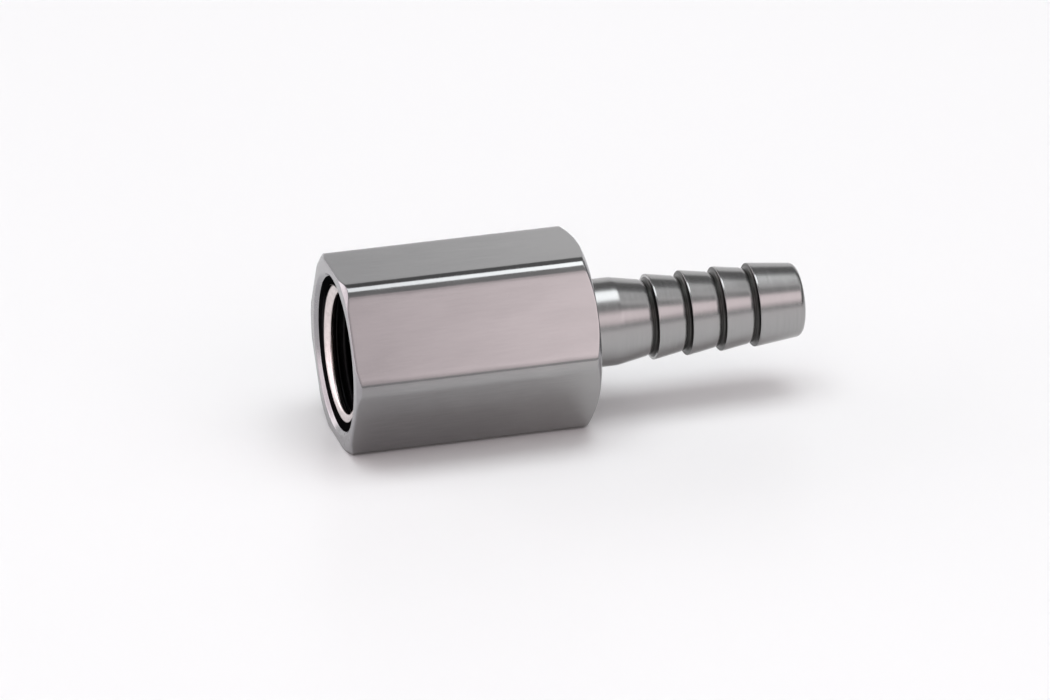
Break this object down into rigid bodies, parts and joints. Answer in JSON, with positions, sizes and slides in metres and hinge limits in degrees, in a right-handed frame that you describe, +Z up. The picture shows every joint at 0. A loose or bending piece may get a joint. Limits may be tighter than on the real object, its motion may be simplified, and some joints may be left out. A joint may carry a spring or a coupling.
{
  "type": "carbon dioxide diffuser",
  "caption": "Hexagonal metal gas fitting with a threaded mouth, porous disc, check valve and a swivelling barbed hose tail.",
  "frame": {"origin": "under the middle of the fitting, on the surface that its hexagon lies on", "axes": "+X runs along the fitting from the threaded mouth to the hose tail's tip, +Z is up, square to the flat that it lies on"},
  "size_m": [0.045, 0.0192, 0.017],
  "materials": {
    "body_steel": "polished, faint lengthwise grain",
    "tail_steel": "polished turned surface",
    "spring_steel": "drawn wire and stamped strip",
    "valve_brass": "turned",
    "black_rubber": "moulded, matt",
    "white_acetal": "machined, matt",
    "porous_disc": "sintered, open pores"
  },
  "bodies": {
    "body": {"hex_body": "body_steel", "face_gasket": "black_rubber", "disc_retainer": "valve_brass", "diffuser_disc": "porous_disc", "disc_gasket": "black_rubber", "valve_cage": "white_acetal", "valve_spring": "spring_steel", "valve_seat": "valve_brass", "seat_o_ring": "black_rubber", "circlip": "spring_steel", "thrust_washer": "white_acetal"},
    "tail": {"hose_tail": "tail_steel", "tail_o_ring": "black_rubber"},
    "check_valve": {"poppet": "valve_brass", "poppet_seal": "black_rubber"}
  },
  "joints": [
    {"name": "tail_swivel", "type": "hinge", "parent": "body", "child": "tail", "pos_m": [0.0012, 0, 0.0085], "axis": [1, 0, 0], "continuous": true},
    {"name": "poppet_lift", "type": "slide", "parent": "body", "child": "check_valve", "axis": [-1, 0, 0], "range_m": [0, 0.001], "stiffness_N_per_m": 40, "springref_m": -0.001, "deforming": ["valve_spring"]}
  ]
}
